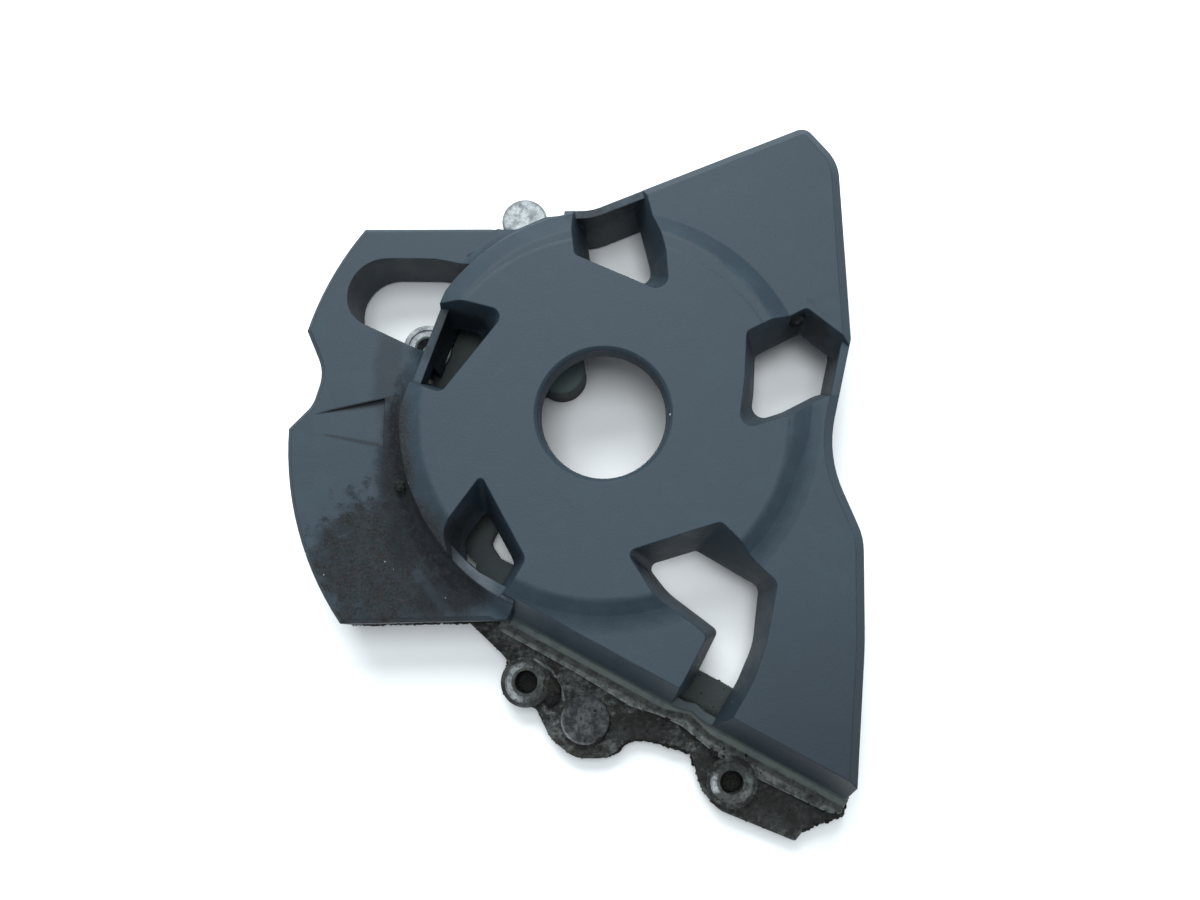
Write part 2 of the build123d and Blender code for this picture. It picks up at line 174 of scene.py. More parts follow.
def millimetres(tree):
    """Object coordinates in millimetres."""
    return scaled(tree, put(tree, "ShaderNodeTexCoord").outputs["Object"], 1000.0)


def parts_of(tree, point):
    """X, Y and Z of a point."""
    return put(tree, "ShaderNodeSeparateXYZ", {"Vector": point}).outputs


def in_plan(tree, point):
    """The point with its height left out."""
    return vector(tree, "MULTIPLY", point, (1.0, 1.0, 0.0))


def noise(tree, where, size, detail=3.0, roughness=0.55):
    """Cloudy noise whose lumps are about the given size in millimetres."""
    is_linked = isinstance(size, bpy.types.NodeSocket)
    scale = calc(tree, "DIVIDE", 1.0, size) if is_linked else 1.0 / size
    made = put(tree, "ShaderNodeTexNoise", {
        "Vector": where, "Scale": scale, "Detail": detail, "Roughness": roughness})
    return made.outputs["Fac"]


def mix(tree, mask, first, second):
    """Mix two colours by a mask."""
    mask_socket, first_socket, second_socket, result_socket = 0, 6, 7, 2
    made = put(tree, "ShaderNodeMix", {
        mask_socket: mask, first_socket: first, second_socket: second}, data_type="RGBA")
    return made.outputs[result_socket]


def colour(red, green, blue):
    """A colour from linear red, green and blue."""
    return (red, green, blue, 1.0)


print("helpers for places and colours ready")

# %% [markdown]
# Dirt gathers in places: where the chain throws it, in a hollow, round a bolt. It could be painted on
# by hand, but a painted image is tied to one unwrapping. A patch is an ellipsoid with a ragged border
# instead, given by its centre and its reach in millimetres. What lies in one spot is built from it.

# %% Node group: a ragged patch
patch, given, result = new_group(
    "patch",
    [("Centre", "NodeSocketVector", (0, 0, 0)),
     ("Reach", "NodeSocketVector", (10, 10, 10)),
     ("Raggedness", "NodeSocketFloat", 0.5),
     ("Lump Size", "NodeSocketFloat", 4.0)],
    [("Mask", "NodeSocketFloat")])
where = millimetres(patch)
offset = vector(patch, "SUBTRACT", where, given["Centre"])
distance = vector(patch, "LENGTH", vector(patch, "DIVIDE", offset, given["Reach"]))
lumps = noise(patch, where, given["Lump Size"], detail=5.0, roughness=0.65)
swing = times(patch, calc(patch, "SUBTRACT", lumps, 0.5), given["Raggedness"])
edge = calc(patch, "ADD", distance, times(patch, swing, 3.0))
patch.links.new(ramp(patch, edge, 1.1, 0.6), result["Mask"])
print("patch inputs:", [socket.name for socket in given if socket.name])

# %% [markdown]
# Edges differ from the faces beside them. The Bevel node gives the normal that the surface would have
# if its edges were rounded, and where that differs from the plain normal there is an edge. On the
# screws the mask is rubbed bright; on the plastic it paints a thin line of shade along every edge, and
# on the casting's ledge a painted highlight. The same rounded normal also takes the hardness off every
# moulded corner.

# %% Node group: edge wear, painted edge shade and highlight
edges_wear_shade_highlight, given, result = new_group(
    "edges_wear_shade_highlight",
    [("Radius", "NodeSocketFloat", 0.0005),
     ("Patchiness", "NodeSocketFloat", 0.5)],
    [("Mask", "NodeSocketFloat"),
     ("Normal", "NodeSocketVector")])
rounded = put(edges_wear_shade_highlight, "ShaderNodeBevel", {"Radius": given["Radius"]}, samples=6).outputs["Normal"]
plain = put(edges_wear_shade_highlight, "ShaderNodeNewGeometry").outputs["Normal"]
edges = ramp(edges_wear_shade_highlight, vector(edges_wear_shade_highlight, "DOT_PRODUCT", rounded, plain), 0.985, 0.86)
rubbed = ramp(edges_wear_shade_highlight, noise(edges_wear_shade_highlight, millimetres(edges_wear_shade_highlight), 5.0), 0.3, 0.7)
kept = inverse(edges_wear_shade_highlight, times(edges_wear_shade_highlight, rubbed, given["Patchiness"]))
edges_wear_shade_highlight.links.new(times(edges_wear_shade_highlight, edges, kept), result["Mask"])
edges_wear_shade_highlight.links.new(rounded, result["Normal"])
print("edge wear nodes:", len(edges_wear_shade_highlight.nodes))

# %% [markdown]
# Moulded and cast surfaces both have a grain. On the shell it is the fine texture eroded into the
# mould, on the casting it is sand-like and coarser. The group gives its height for a Bump node, and a
# broad cloud by which a colour or a gloss can vary.

# %% Node group: grain
grain, given, result = new_group(
    "grain",
    [("Size", "NodeSocketFloat", 0.4)],
    [("Height", "NodeSocketFloat"),
     ("Cloud", "NodeSocketFloat")])
where = millimetres(grain)
fine = noise(grain, where, given["Size"], detail=2.0, roughness=0.6)
pits = put(grain, "ShaderNodeTexVoronoi", {
    "Vector": where, "Scale": calc(grain, "DIVIDE", 0.7, given["Size"])}).outputs["Distance"]
grain.links.new(calc(grain, "ADD", fine, times(grain, pits, 0.5)), result["Height"])
grain.links.new(noise(grain, where, 9.0, detail=6.0, roughness=0.65), result["Cloud"])
print("grain nodes:", len(grain.nodes))

# %% [markdown]
# Dust shows as a few pale specks, much smaller than a millimetre. A Voronoi cell is one place for a
# speck, and only the cells whose random colour is low enough get one.

# %% Node group: specks
specks, given, result = new_group(
    "specks",
    [("Spacing", "NodeSocketFloat", 6.0),
     ("Size", "NodeSocketFloat", 0.3),
     ("Share", "NodeSocketFloat", 0.3)],
    [("Mask", "NodeSocketFloat")])
cells = put(specks, "ShaderNodeTexVoronoi", {
    "Vector": millimetres(specks), "Scale": calc(specks, "DIVIDE", 1.0, given["Spacing"])}).outputs
chance = put(specks, "ShaderNodeSeparateColor", {"Color": cells["Color"]}).outputs["Red"]
chosen = calc(specks, "LESS_THAN", chance, given["Share"])
dot = calc(specks, "LESS_THAN", times(specks, cells["Distance"], given["Spacing"]), given["Size"])
specks.links.new(times(specks, chosen, dot), result["Mask"])
print("speck nodes:", len(specks.nodes))

# %% [markdown]
# A bolt leaves a bright ring where its head turned on the casting. The mask is worked out from the
# distance to the bolt's axis, and is cut to the height of the lug's face.

# %% Node group: a ring round a bolt
ring, given, result = new_group(
    "ring",
    [("Centre", "NodeSocketVector", (0, 0, 0)),
     ("Inner", "NodeSocketFloat", 4.5),
     ("Outer", "NodeSocketFloat", 6.7)],
    [("Mask", "NodeSocketFloat")])
where = millimetres(ring)
offset = vector(ring, "SUBTRACT", where, given["Centre"])
away = vector(ring, "LENGTH", in_plan(ring, offset))
away = calc(ring, "ADD", away, times(ring, noise(ring, where, 1.6), 0.7))
past_hole = ramp(ring, calc(ring, "SUBTRACT", away, given["Inner"]), 0.15, 0.55)
inside = ramp(ring, calc(ring, "SUBTRACT", given["Outer"], away), -0.5, -0.1)
on_face = ramp(ring, calc(ring, "ABSOLUTE", parts_of(ring, offset)["Z"]), 1.2, 0.8)
ring.links.new(times(ring, past_hole, inside, on_face), result["Mask"])
print("ring nodes:", len(ring.nodes))

# %% [markdown]
# A stroke is a soft line between two points of the plan: a smear in the dirt, a seam that grime has
# filled, a scratch. The nearest point of the line is found first, then the distance to it.

# %% Node group: a stroke
stroke, given, result = new_group(
    "stroke",
    [("From", "NodeSocketVector", (0, 0, 0)),
     ("To", "NodeSocketVector", (1, 0, 0)),
     ("Width", "NodeSocketFloat", 1.0)],
    [("Mask", "NodeSocketFloat")])
offset = vector(stroke, "SUBTRACT", in_plan(stroke, millimetres(stroke)), given["From"])
line = vector(stroke, "SUBTRACT", given["To"], given["From"])
along = vector(stroke, "DOT_PRODUCT", offset, line)
square = vector(stroke, "DOT_PRODUCT", line, line)
nearest = scaled(stroke, line, calc(stroke, "DIVIDE", along, square, clamp=True))
away = vector(stroke, "DISTANCE", offset, nearest)
stroke.links.new(ramp(stroke, calc(stroke, "DIVIDE", away, given["Width"]), 1.0, 0.3), result["Mask"])
print("stroke nodes:", len(stroke.nodes))

# %% [markdown]
# A dirty corner is rarely one patch, and a seam is rarely one straight line. Several are joined by
# taking the highest of their masks, so that they don't grow darker where they overlap.

# %% Join several patches or strokes into one mask
def strokes(tree, width, points):
    """A line through several points of the plan."""
    return highest(tree, *[
        place(tree, stroke, From=(*start, 0), To=(*end, 0), Width=width)["Mask"]
        for start, end in zip(points, points[1:])])


def patches(tree, spots):
    """Several patches: each spot is a centre, a reach, a raggedness and a lump size."""
    return highest(tree, *[
        place(tree, patch, Centre=centre, Reach=reach, Raggedness=raggedness, Lump_Size=lump)["Mask"]
        for centre, reach, raggedness, lump in spots])


print("strokes and patches can be joined")

# %% [markdown]
# Each finish starts as a new material with one Principled shader and ends in a Bump node. The shader
# stays in the material itself and not in a group, because only then can an export read its sockets.

# %% Start and end of a material
def start_material(name):
    """A new material, the tree in it and its Principled shader."""
    material = bpy.data.materials.new(name)
    material.use_nodes = True
    tree = material.node_tree
    return material, tree, tree.nodes["Principled BSDF"]


def add_bump(tree, shader, height, distance, strength, normal=None):
    """Raise and sink the surface by a height, on top of the rounded normal where there is one."""
    bump = put(tree, "ShaderNodeBump", {"Height": height, "Distance": distance, "Strength": strength})
    if normal is not None:
        tree.links.new(normal, bump.inputs["Normal"])
    tree.links.new(bump.outputs["Normal"], shader.inputs["Normal"])


print("materials can be started")

# %% [markdown]
# The shell is moulded in dark grey plastic with a matt, slightly bluish face. Three things lie on
# it: a thin uneven film of dust, brown road dirt on the lower wing, and black dirt in some hollows.
# Painted shade darkens the hollows, the creases and every edge, and painted highlights lie on the
# shoulder, on a streak and on the lip. They are added one after another, each mixed over the colour
# so far.

# %% Material: moulded plastic
clean_plastic = colour(0.0205, 0.0335, 0.0455)
filmed_plastic = colour(0.0255, 0.0410, 0.0540)
plastic, tree, shader = start_material("shell_plastic")
shader.inputs["Specular IOR Level"].default_value = 0.2
# On the plastic this edge mask paints a thin line of shade along every edge.
edge_wear_and_shade = place(tree, edges_wear_shade_highlight, Radius=0.0006, Patchiness=0.6)
skin = place(tree, grain, Size=0.38)
where = millimetres(tree)
at = parts_of(tree, where)
film = ramp(tree, skin["Cloud"], 0.40, 0.72)
base = mix(tree, film, clean_plastic, filmed_plastic)
print("film of dust:", len(tree.nodes), "nodes")

# %% [markdown]
# Brown road dirt lies on the lower wing and over the disc's lower left shoulder. It is a film more
# than a crust: from a step away it only takes the blue out of the plastic, and close to, it is a fine
# speckle of brown and black. Along one slanting streak the dirt is thinned to paint a highlight.

# %% Road dirt
mud = patches(tree, [
    ((-66, -42, 24), (25, 24, 10), 0.50, 5.0),
    ((-60, -14, 27), (9, 30, 10), 0.35, 7.0),
    ((-52, -36, 27), (14, 20, 10), 0.35, 7.0),
    ((-46, -50, 22), (15, 12, 10), 0.35, 7.0)])
mud_lumps = ramp(tree, noise(tree, where, 0.8, detail=6.0, roughness=0.85), 0.36, 0.64)
hue = ramp(tree, noise(tree, where, 1.7), 0.42, 0.58)
pale_mud = mix(tree, hue, colour(0.030, 0.036, 0.034), colour(0.040, 0.030, 0.028))
mud_colour = mix(tree, mud_lumps, colour(0.0050, 0.0062, 0.0076), pale_mud)
mud_share = ramp(tree, noise(tree, where, 3.5, detail=8.0, roughness=0.8), 0.25, 0.72)
mud_density = calc(tree, "ADD", 0.35, times(tree, mud_share, 0.60))
# Painted highlight: along this streak the dirt is halved.
streak_painted_highlight = strokes(tree, 2.2, [(-55.3, -45.5), (-45.5, -57.2)])
mud_cover = times(tree, mud, mud_density, inverse(tree, times(tree, streak_painted_highlight, 0.5)))
base = mix(tree, mud_cover, base, mud_colour)
print("road dirt:", len(tree.nodes), "nodes")

# %% [markdown]
# Dark colour goes into the hollow round the disc as painted shade, and onto the walls of the upper
# windows as grime and painted shade. One spot on the disc's lower left shoulder is a painted
# highlight, paler than the plastic.

# %% Painted shade in the hollows and a painted highlight on the shoulder
# Painted shade in the hollow round the disc.
shade = patches(tree, [
    ((-65.5, 12, 25.5), (5.5, 24, 6), 0.25, 8.0),
    ((-63.5, -12, 26), (6.5, 20, 8), 0.25, 8.0),
    ((-58.5, -33, 27), (7.0, 17, 9), 0.35, 7.0),
    ((-46, -51, 25), (13, 7, 9), 0.4, 6.0)])
# Grime and painted shade on the walls of the upper windows.
window_grime_and_shade = patches(tree, [
    ((0, 58, 25), (14, 13, 9), 0.8, 3.0),
    ((-46, 26, 24), (15, 12, 9), 0.5, 5.0),
    ((62, 29, 24), (10, 9, 8), 0.6, 5.0)])
# Painted highlight on the rim of the disc's lower left shoulder.
shoulder_painted_highlight = patches(tree, [((-40, -48.5, 29.2), (9.5, 9.5, 0.9), 0.1, 5.0)])
print("hollows:", len(tree.nodes), "nodes")

# %% [markdown]
# The wing carries a shallow fan, and painted shade with dirt fills the two creases that edge it. A
# crease is a thin wedge: its width grows with the distance from the fan's tip, which is worked out
# with plain arithmetic on X and Y, because a stroke has the same width all along.

# %% Creases of the fan
fan_tip_x = -88.0
fan_root_x = -66.5
fan_tip_y = 2.6
fan_rise = 0.223
fan_low_z = 21.0


def crease_shade(tree, side, width):
    """A wedge of painted shade and dirt inside one edge of the fan: side is 1 for its upper edge, -1 for
    its lower one.
    """
    along = calc(tree, "SUBTRACT", at["X"], fan_tip_x)
    edge_y = calc(tree, "ADD", times(tree, along, fan_rise), fan_tip_y)
    inside = calc(tree, "SUBTRACT", edge_y, times(tree, at["Y"], float(side)))
    reach = times(tree, along, width / (fan_root_x - fan_tip_x))
    across = calc(tree, "DIVIDE", inside, highest(tree, reach, 0.05))
    wedge = times(tree, ramp(tree, across, 1.2, 0.3), ramp(tree, inside, -0.9, -0.2))
    past_tip = ramp(tree, along, 0.0, 6.0)
    before_root = ramp(tree, at["X"], fan_root_x + 4, fan_root_x + 1)
    return times(tree, wedge, past_tip, before_root, ramp(tree, at["Z"], fan_low_z, fan_low_z + 1))


# Painted shade, with dirt, along the fan's two creases.
upper_crease_shade = crease_shade(tree, 1, 2.6)
lower_crease_shade = crease_shade(tree, -1, 1.5)
crease_shades = highest(tree, times(tree, upper_crease_shade, 0.9), times(tree, lower_crease_shade, 0.75))
print("creases:", len(tree.nodes), "nodes")

# %% [markdown]
# The cove, where the wing rises to the disc, is a ring about the part's own axis. So its dirt and
# painted shade follow a track at one radius, which grows a little towards the lower edge. The plate's
# lower corner gets painted shade that deepens by degrees.

# %% Dirt and painted shade in the cove, painted shade in the far corner
cove_radius = 63.4
radius = vector(tree, "LENGTH", in_plan(tree, where))
track = calc(tree, "ADD", cove_radius, times(tree, ramp(tree, at["Y"], -15.0, -35.0), 2.2))
off_track = calc(tree, "ABSOLUTE", calc(tree, "SUBTRACT", radius, track))
left_side = times(tree, ramp(tree, at["X"], -36.0, -44.0), ramp(tree, at["Y"], 24.0, 8.0))
blots = ramp(tree, noise(tree, where, 2.2, detail=6.0), 0.28, 0.58)
# Dirt and painted shade along the cove's track.
left_cove_dirt_and_shade = times(
    tree, left_side, ramp(tree, at["Z"], 21.5, 23.0), ramp(tree, off_track, 4.2, 0.6), blots)
# Painted shade, darker towards the plate's lower right corner.
far_corner_painted_shade = times(tree, ramp(tree, at["Y"], -35.0, -105.0), ramp(tree, at["X"], 10.0, 50.0))
print("cove:", len(tree.nodes), "nodes")

# %% [markdown]
# The shell's lower side leans out to a lip, which runs at a slant through the plan. The wall under the
# lip gets a painted shadow, near black, and just above the lip a pale line is a painted highlight
# along the bead. Both are kept near the lip's line, because the right wall and the wing's skirt have
# the same heights.

# %% Painted shadow under the lip and a painted highlight above it
lip_slope = 0.5375
lip_y = -74.3
lip_z = 9.9
lip_line = calc(tree, "ADD", at["Y"], times(tree, at["X"], lip_slope))
past_lip = calc(tree, "SUBTRACT", lip_line, lip_y)
low_side = times(tree, ramp(tree, past_lip, 9.0, 7.0), ramp(tree, at["X"], -36.0, -33.0))
# Painted shadow on the wall under the lip.
under_lip_painted_shadow = times(tree, low_side, ramp(tree, at["Z"], lip_z, lip_z - 0.5))
above_lip = times(tree, ramp(tree, at["Z"], lip_z, lip_z + 0.6), ramp(tree, at["Z"], 14.0, 11.2))
# Painted highlight along the top of the lip's bead, broken up by noise.
lip_highlight_breakup = ramp(tree, noise(tree, where, 3.0, detail=5.0), 0.10, 0.55)
lip_painted_highlight = times(tree, low_side, above_lip, lip_highlight_breakup)
print("lip:", len(tree.nodes), "nodes")

# %% [markdown]
# The painted shade, the grime and the lines along the edges share one colour, so their masks are
# joined and it is mixed in once. The painted highlights on the shoulder and along the lip are paler
# than the plastic, and they lie on top of it.

# %% Mix the painted shade, grime and highlights in
# Painted shade in the hollows, creases, far corner, under the lip and along every edge, with grime.
dark = highest(
    tree, times(tree, shade, 0.50), times(tree, window_grime_and_shade, 0.7), times(tree, edge_wear_and_shade["Mask"], 0.7),
    times(tree, left_cove_dirt_and_shade, 0.9), times(tree, far_corner_painted_shade, 0.5), crease_shades, under_lip_painted_shadow)
base = mix(tree, dark, base, colour(0.0060, 0.0085, 0.0120))
# Painted highlights on the shoulder's rim and along the lip.
base = mix(tree, times(tree, shoulder_painted_highlight, 0.6), base, colour(0.070, 0.082, 0.095))
base = mix(tree, times(tree, lip_painted_highlight, 0.85), base, colour(0.090, 0.106, 0.101))
print("dark dirt:", len(tree.nodes), "nodes")

# %% [markdown]
# Last come the pale specks of dust and grit, and how rough and how grained each kind of surface is.
# Dirt is duller than the plastic, and its lumps stand a little proud of the moulded grain.

# %% Specks, roughness and grain
dust = place(tree, specks, Spacing=9.0, Size=0.30, Share=0.16)["Mask"]
grit = times(tree, place(tree, specks, Spacing=2.6, Size=0.22, Share=0.12)["Mask"], mud)
base = mix(tree, highest(tree, dust, grit), base, colour(0.33, 0.34, 0.34))
tree.links.new(base, shader.inputs["Base Color"])
roughness = put(tree, "ShaderNodeMapRange", {
    "Value": skin["Cloud"], "From Min": 0.3, "From Max": 0.7, "To Min": 0.46, "To Max": 0.60})
dull = highest(
    tree, roughness.outputs["Result"], times(tree, mud_cover, 0.9), times(tree, dark, 0.75))
tree.links.new(dull, shader.inputs["Roughness"])
rise = calc(tree, "ADD", times(tree, skin["Height"], 0.16), times(tree, mud_cover, mud_lumps))
add_bump(tree, shader, rise, 0.0004, 0.7, edge_wear_and_shade["Normal"])
print("plastic nodes:", len(tree.nodes))

# %% [markdown]
# Much of the casting's finish belongs to its own features, so their places are named once here, in
# millimetres of the plan. The lugs are the pads that the bolts clamp, and the bosses are blind.

# %% Places on the casting
left_lug = (-24.2, -77.2)
right_lug = (37.5, -106.5)
slot_lug = (-56.7, 26.9)
low_boss_place = (-6.3, -88.4)
top_boss_place = (-26.1, 69.1)
arm_boss_place = (-14.1, 18.8)
lug_face_z = 8.2
boss_face_z = 9.0
arm_boss_face_z = 14.0
print("lugs:", left_lug, right_lug, slot_lug)

# %% [markdown]
# The casting is bare aluminium that has gone dull. Its flange sits in road dirt and chain grease, so
# only the raised faces that a bolt head or a boss keeps clean are bright. Grime is not metal: where
# it lies, Metallic falls to nothing and the surface turns rough and dark.

# %% Material: cast aluminium under grime
metal, tree, shader = start_material("cast_metal")
edge_wear_and_shade = place(tree, edges_wear_shade_highlight, Radius=0.0005, Patchiness=0.35)
skin = place(tree, grain, Size=0.8)
where = millimetres(tree)
at = parts_of(tree, where)
cloud = noise(tree, where, 2.6, detail=8.0, roughness=0.72)
lumps = ramp(tree, noise(tree, where, 1.5, detail=7.0, roughness=0.75), 0.36, 0.64)
broad = ramp(tree, noise(tree, where, 6.0, detail=5.0, roughness=0.6), 0.42, 0.60)
slant = calc(tree, "ADD", at["Y"], times(tree, at["X"], 0.47))
flange_side = ramp(tree, slant, -69.0, -73.0)
web_colour = mix(tree, cloud, colour(0.026, 0.036, 0.037), colour(0.040, 0.053, 0.054))
crust_colour = mix(tree, lumps, colour(0.0055, 0.0060, 0.0058), colour(0.032, 0.034, 0.031))
stain_colour = mix(tree, lumps, colour(0.034, 0.040, 0.040), colour(0.100, 0.110, 0.106))
flange_colour = mix(tree, broad, crust_colour, stain_colour)
base = mix(tree, flange_side, web_colour, flange_colour)
# Painted shade on the web under the low window.
low_web_painted_shade = patches(tree, [((33, -80, 7), (16, 14, 8), 0.2, 5.0)])
base = mix(tree, times(tree, low_web_painted_shade, 0.45), base, colour(0.010, 0.014, 0.015))
print("web and flange:", len(tree.nodes), "nodes")

# %% [markdown]
# The ledge along the shell's lip is wiped a little cleaner than the flange below it, and the round
# boss on the flange keeps a dull mottled face. Each is picked out by its height and its place.

# %% Ledge and low boss
at_ledge_height = times(tree, ramp(tree, at["Z"], 7.5, 7.9), ramp(tree, at["Z"], 8.3, 8.1))
ledge = times(tree, flange_side, at_ledge_height)
ledge_stain = ramp(tree, cloud, 0.40, 0.58)
ledge_colour = mix(tree, ledge_stain, colour(0.075, 0.085, 0.083), colour(0.190, 0.212, 0.205))
base = mix(tree, times(tree, ledge, 0.9), base, ledge_colour)
low_boss = patches(tree, [((*low_boss_place, boss_face_z), (9.4, 9.4, 1.8), 0.25, 3.0)])
boss_stain = ramp(tree, cloud, 0.40, 0.62)
boss_colour = mix(tree, boss_stain, colour(0.014, 0.016, 0.018), colour(0.090, 0.098, 0.106))
base = mix(tree, times(tree, low_boss, 0.9), base, boss_colour)
print("ledge and low boss:", len(tree.nodes), "nodes")

# %% [markdown]
# Soot lies round the lugs, and painted shadow darkens the dip beside the low boss and the seam under
# the lip. The flange's walls are near black, as grime and painted shade, and so is the foot of the arm
# boss, as painted shade. Rust has stained the ledge in a few places.

# %% Soot, painted shade and rust
lug_faces = patches(tree, [
    ((*left_lug, lug_face_z), (9.8, 9.8, 2.2), 0.25, 3.0),
    ((*right_lug, lug_face_z), (9.8, 9.8, 2.2), 0.25, 3.0)])
# Painted shadow on the ledge along the seam under the lip.
lip_painted_shadow = strokes(tree, 1.3, [
    (-29.7, -60.9), (17.0, -86.0), (24.6, -87.6), (30.7, -93.4), (69.1, -114.0)])
# Soot round the lugs, with painted shadow in the dip beside the low boss.
soot_and_painted_shadow = patches(tree, [
    ((-17.0, -81.5, 7.5), (7.5, 6.5, 4.0), 0.5, 3.0),
    ((10.0, -91.5, 6.0), (14.0, 6.0, 3.0), 0.6, 3.0),
    ((30.0, -101.0, 6.5), (10.0, 7.0, 3.0), 0.6, 3.0),
    ((38.0, -103.0, 8.4), (8.0, 5.0, 2.0), 0.6, 3.0),
    ((54.0, -114.0, 6.0), (17.0, 8.0, 3.0), 0.7, 4.0),
    ((47.5, -109.0, 6.0), (7.0, 5.5, 3.0), 0.4, 3.0),
    ((-24.0, -81.0, 6.5), (11.0, 9.0, 2.5), 0.5, 3.0)])
soot_and_painted_shadow = highest(tree, soot_and_painted_shadow, times(tree, lug_faces, 0.8), times(tree, lip_painted_shadow, ledge, 0.85))
# Grime and painted shade: the flange's walls below 5 mm go near black.
wall_grime_and_shade = times(tree, flange_side, ramp(tree, at["Z"], 5.6, 4.6))
# Painted shade at the foot of the arm boss.
arm_boss_painted_shade = patches(tree, [((*arm_boss_place, 1.5), (14.0, 14.0, 5.5), 0.2, 4.0)])
black = highest(tree, times(tree, soot_and_painted_shadow, 0.85), wall_grime_and_shade, arm_boss_painted_shade)
base = mix(tree, times(tree, black, 0.85), base, colour(0.0060, 0.0064, 0.0060))
rust_spots = ramp(tree, noise(tree, where, 3.4, detail=7.0, roughness=0.8), 0.60, 0.68)
base = mix(tree, times(tree, rust_spots, ledge, 0.3), base, colour(0.070, 0.042, 0.034))
arm_boss = patches(tree, [((*arm_boss_place, arm_boss_face_z), (12.0, 12.0, 1.5), 0.1, 4.0)])
base = mix(tree, arm_boss, base, colour(0.086, 0.120, 0.122))
print("soot and rust:", len(tree.nodes), "nodes")

# %% [markdown]
# Bright metal shows in few places. A bolt head rubs one side of its ring more than the other, so each
# ring is cut by a patch that is set off to that side, with a strength of its own.

# %% Bright rings round the bolts
lower_rings = []
for lug, to_side, reach, strength in (
        (left_lug, (-4.4, 0.6), (6.0, 9.0, 3.0), 0.85),
        (right_lug, (-5.3, -0.1), (3.0, 3.2, 3.0), 1.0),
        (right_lug, (5.5, -1.3), (4.5, 6.0, 3.0), 0.35)):
    rubbed_at = (lug[0] + to_side[0], lug[1] + to_side[1], lug_face_z)
    whole_ring = place(tree, ring, Centre=(*lug, lug_face_z), Inner=4.4, Outer=6.4)["Mask"]
    rubbed = patches(tree, [(rubbed_at, reach, 0.5, 2.0)])
    lower_rings.append(times(tree, whole_ring, rubbed, strength))
boss_edge = place(tree, ring, Centre=(*low_boss_place, boss_face_z), Inner=6.6, Outer=8.8)["Mask"]
boss_rim = times(tree, boss_edge, patches(tree, [((-10.5, -92.0, 9.0), (8.0, 7.0, 4.0), 0.3, 3.0)]))
slot_ring = place(tree, ring, Centre=(*slot_lug, lug_face_z), Inner=4.2, Outer=8.2)["Mask"]
print("rings:", len(tree.nodes), "nodes")

# %% [markdown]
# The top boss is sheltered by the shell and has stayed clean all round. A thin ridge beside the left
# lug is rubbed bright, and the edges of the ledge get a painted highlight, except at the lugs.

# %% Sheltered boss, ridge and ledge edge
sheltered = patches(tree, [((*top_boss_place, boss_face_z), (9.5, 9.5, 12.0), 0.1, 3.0)])
ridge_line = strokes(tree, 0.6, [(-21.5, -70.3), (-16.5, -73.8), (-13.6, -79.0), (-12.8, -82.5)])
ridge = times(tree, ridge_line, ramp(tree, at["Z"], 4.0, 5.0))
# Painted highlight along the ledge's edges.
ledge_edge_highlight = place(tree, edges_wear_shade_highlight, Radius=0.0009, Patchiness=0.2)["Mask"]
near_ledge = times(tree, ramp(tree, at["Z"], 7.0, 7.6), ramp(tree, at["Z"], 8.3, 8.1))
ledge_painted_highlight = times(tree, ledge_edge_highlight, flange_side, near_ledge, inverse(tree, lug_faces))
print("edges:", len(tree.nodes), "nodes")

# %% [markdown]
# All the bare places and the painted highlight along the ledge's edges are joined into one mask. It
# drives the colour, Metallic and Roughness together, so that the surface is metallic and a little
# glossy only where the metal is bare or the ledge's edge is highlighted.

# %% Mix the bare metal and the ledge's highlight in
stain = ramp(tree, noise(tree, where, 2.4, detail=8.0, roughness=0.75), 0.52, 0.62)
rubbed_lines = times(tree, highest(tree, boss_rim, ridge), 0.6)
bare_metal_and_highlight = highest(tree, sheltered, slot_ring, *lower_rings, rubbed_lines)
bare_metal_and_highlight = calc(tree, "SUBTRACT", bare_metal_and_highlight, times(tree, stain, 0.4), clamp=True)
# The ledge's painted highlight joins the bare metal here.
bare_metal_and_highlight = highest(tree, bare_metal_and_highlight, times(tree, ledge_painted_highlight, 0.8))
bare_stain = ramp(tree, cloud, 0.38, 0.62)
grey = mix(tree, bare_stain, colour(0.125, 0.140, 0.150), colour(0.270, 0.295, 0.305))
tree.links.new(mix(tree, bare_metal_and_highlight, base, grey), shader.inputs["Base Color"])
tree.links.new(times(tree, bare_metal_and_highlight, 0.4), shader.inputs["Metallic"])
tree.links.new(calc(tree, "SUBTRACT", 0.78, times(tree, bare_metal_and_highlight, 0.22)), shader.inputs["Roughness"])
relief = times(tree, lumps, flange_side, inverse(tree, bare_metal_and_highlight))
rise = calc(tree, "ADD", times(tree, skin["Height"], 0.25), relief)
add_bump(tree, shader, rise, 0.0005, 0.8, edge_wear_and_shade["Normal"])
print("metal nodes:", len(tree.nodes))

# %% [markdown]
# The screws are steel, turned and plated, with a little grime round their heads. They hold the shell
# from behind, so they only show when the cover is turned over. Squeezing the noise along Z gives the
# fine rings that a lathe leaves.

